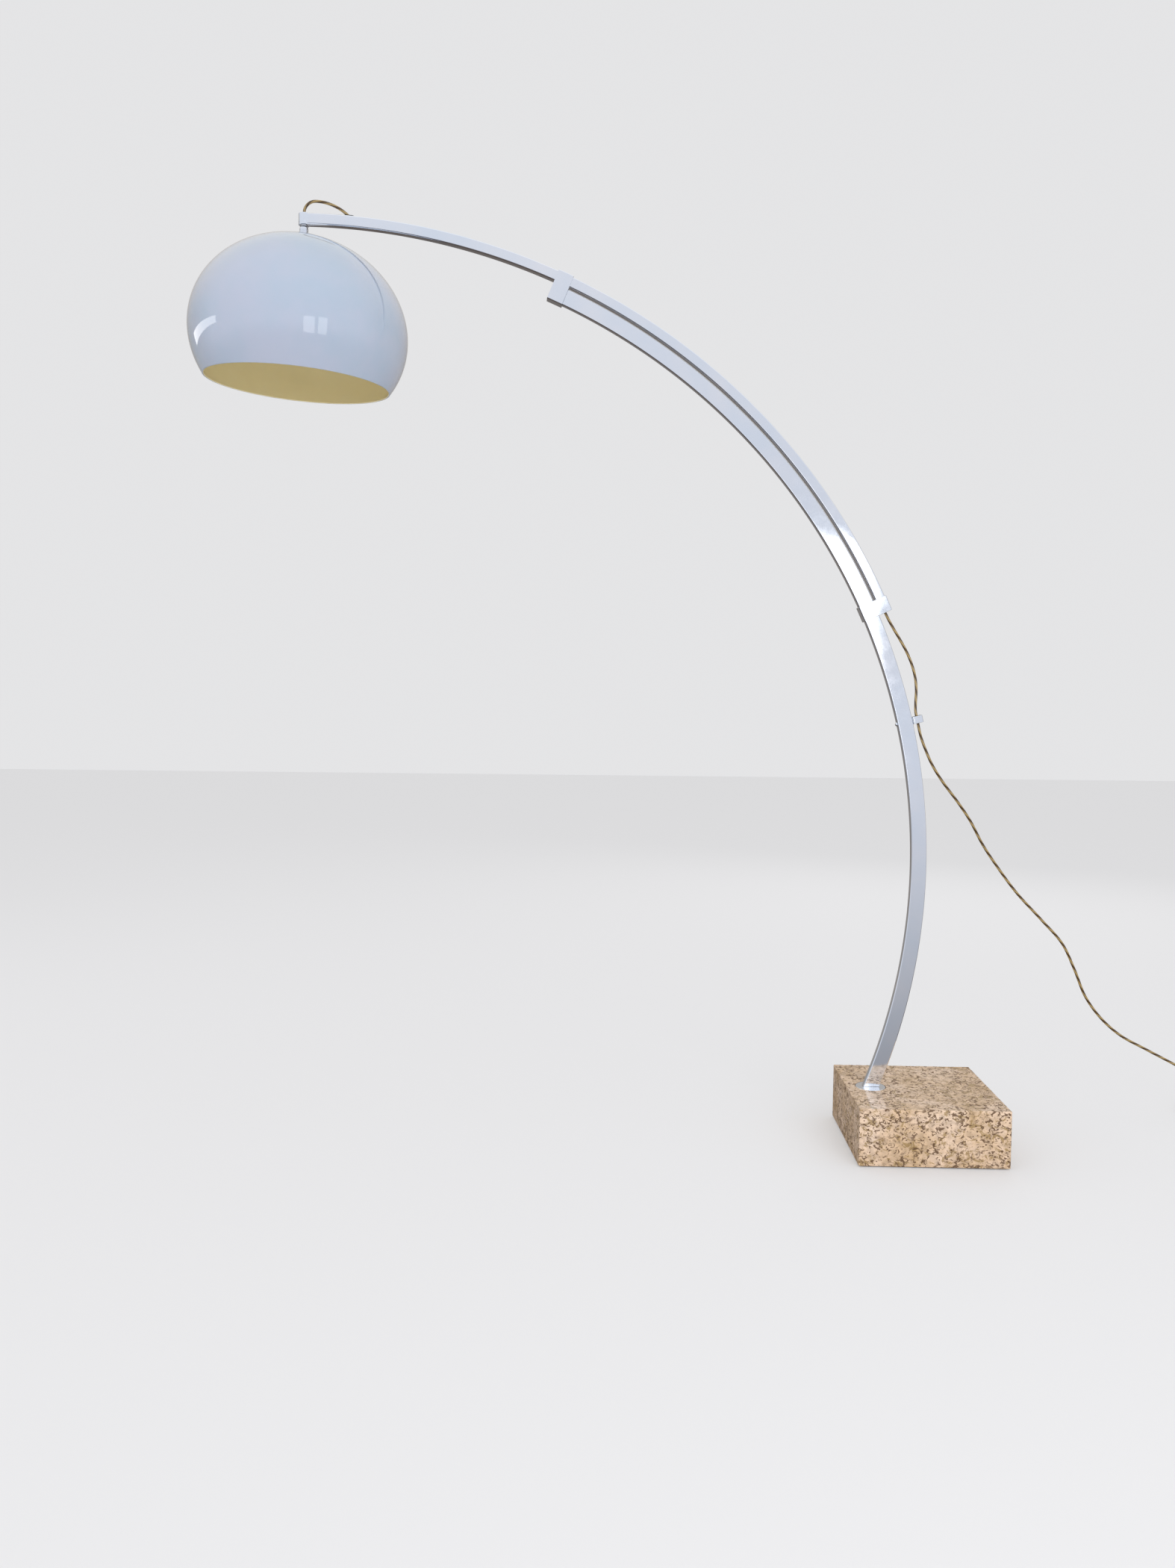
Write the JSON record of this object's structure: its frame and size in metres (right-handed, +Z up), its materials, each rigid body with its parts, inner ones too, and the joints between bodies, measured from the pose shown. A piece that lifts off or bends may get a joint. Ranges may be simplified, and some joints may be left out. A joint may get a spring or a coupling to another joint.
{
  "type": "arc floor lamp",
  "caption": "Arc floor lamp: stone block base, sliding chromed arc tubes that swivel on it, and an opal dome shade on a ball joint, with a mains flex and foot switch.",
  "frame": {"origin": "centre of the base's underside, on the floor", "axes": "+Z up; +X to the right along the base's front edge, away from the shade; +Y to the back"},
  "size_m": [2.2496, 0.558, 1.7671],
  "materials": {
    "travertine": "polished",
    "felt": "matte",
    "nylon": "satin",
    "rubber": "matte",
    "chrome": "polished",
    "steel": "satin",
    "brass": "satin",
    "black_plastic": "satin",
    "flex_pvc": "satin",
    "opal_acrylic": "gloss",
    "porcelain": "gloss",
    "bulb_glass": "satin"
  },
  "bodies": {
    "base": {"stone_base": "travertine", "base_felt": "felt", "pivot_bush": "nylon", "friction_washer": "rubber", "base_washer": "steel"},
    "lower_arm": {"foot_disc": "chrome", "foot_spigot": "steel", "pivot_bolt": "steel", "spring_washer": "steel", "pivot_nut": "steel", "lock_nut": "steel", "lower_arc_tube": "chrome", "lower_tube_bung": "black_plastic", "upper_clamp": "chrome", "upper_clamp_liner": "nylon", "upper_clamp_screw": "steel", "cord_clip": "chrome", "clip_bush": "rubber", "clip_bolt": "steel", "clip_nut": "chrome", "mains_flex": "flex_pvc", "link_flex": "flex_pvc", "tail_flex": "flex_pvc", "flex_coil": "flex_pvc", "switch_base": "black_plastic", "switch_cover": "black_plastic", "switch_relief_in": "rubber", "switch_relief_out": "rubber", "plug_body": "black_plastic", "plug_pin_front": "brass", "plug_pin_back": "brass", "plug_relief": "rubber"},
    "button": {"switch_button": "black_plastic"},
    "upper_arm": {"upper_arc_tube": "chrome", "tube_end_bush": "black_plastic", "lower_clamp": "chrome", "lower_clamp_liner": "nylon", "lower_clamp_screw": "steel", "inner_flex": "flex_pvc", "flex_bow": "flex_pvc", "loop_grommet": "black_plastic", "flex_loop": "flex_pvc", "end_boss": "chrome", "cup_spring": "steel", "boss_grommet": "black_plastic"},
    "ball_cup": {"ball_cup": "nylon"},
    "head": {"pivot_ball": "chrome", "neck_sleeve": "chrome", "shade_cap": "chrome", "shade": "opal_acrylic", "shade_gasket": "rubber", "inner_washer": "steel", "clamp_nut": "brass", "holder_cap": "black_plastic", "holder_shell": "black_plastic", "socket_insert": "porcelain", "thread_shell": "brass", "bulb_cap": "steel", "bulb_glass": "bulb_glass", "stem_flex": "flex_pvc"}
  },
  "joints": [
    {"name": "arm_swivel", "type": "hinge", "parent": "base", "child": "lower_arm", "pos_m": [-0.092, 0, 0.105], "axis": [0, 0, 1], "continuous": true},
    {"name": "arm_slide", "type": "hinge", "parent": "lower_arm", "child": "upper_arm", "pos_m": [-1.15824, -0.11207, 0.545], "axis": [0.1045, -0.9945, 0], "range_deg": [-4, 14], "deforming": ["flex_bow"]},
    {"name": "shade_turn", "type": "hinge", "parent": "upper_arm", "child": "ball_cup", "pos_m": [-1.17677, -0.11401, 1.72505], "axis": [0, 0, 1], "range_deg": [-170, 170]},
    {"name": "shade_tilt", "type": "hinge", "parent": "ball_cup", "child": "head", "pos_m": [-1.17677, -0.11401, 1.72505], "axis": [0.6665, 0.7455, 0], "range_deg": [-25, 15]},
    {"name": "switch_press", "type": "slide", "parent": "lower_arm", "child": "button", "axis": [0, 0, -1], "range_m": [0, 0.003], "stiffness_N_per_m": 600}
  ]
}
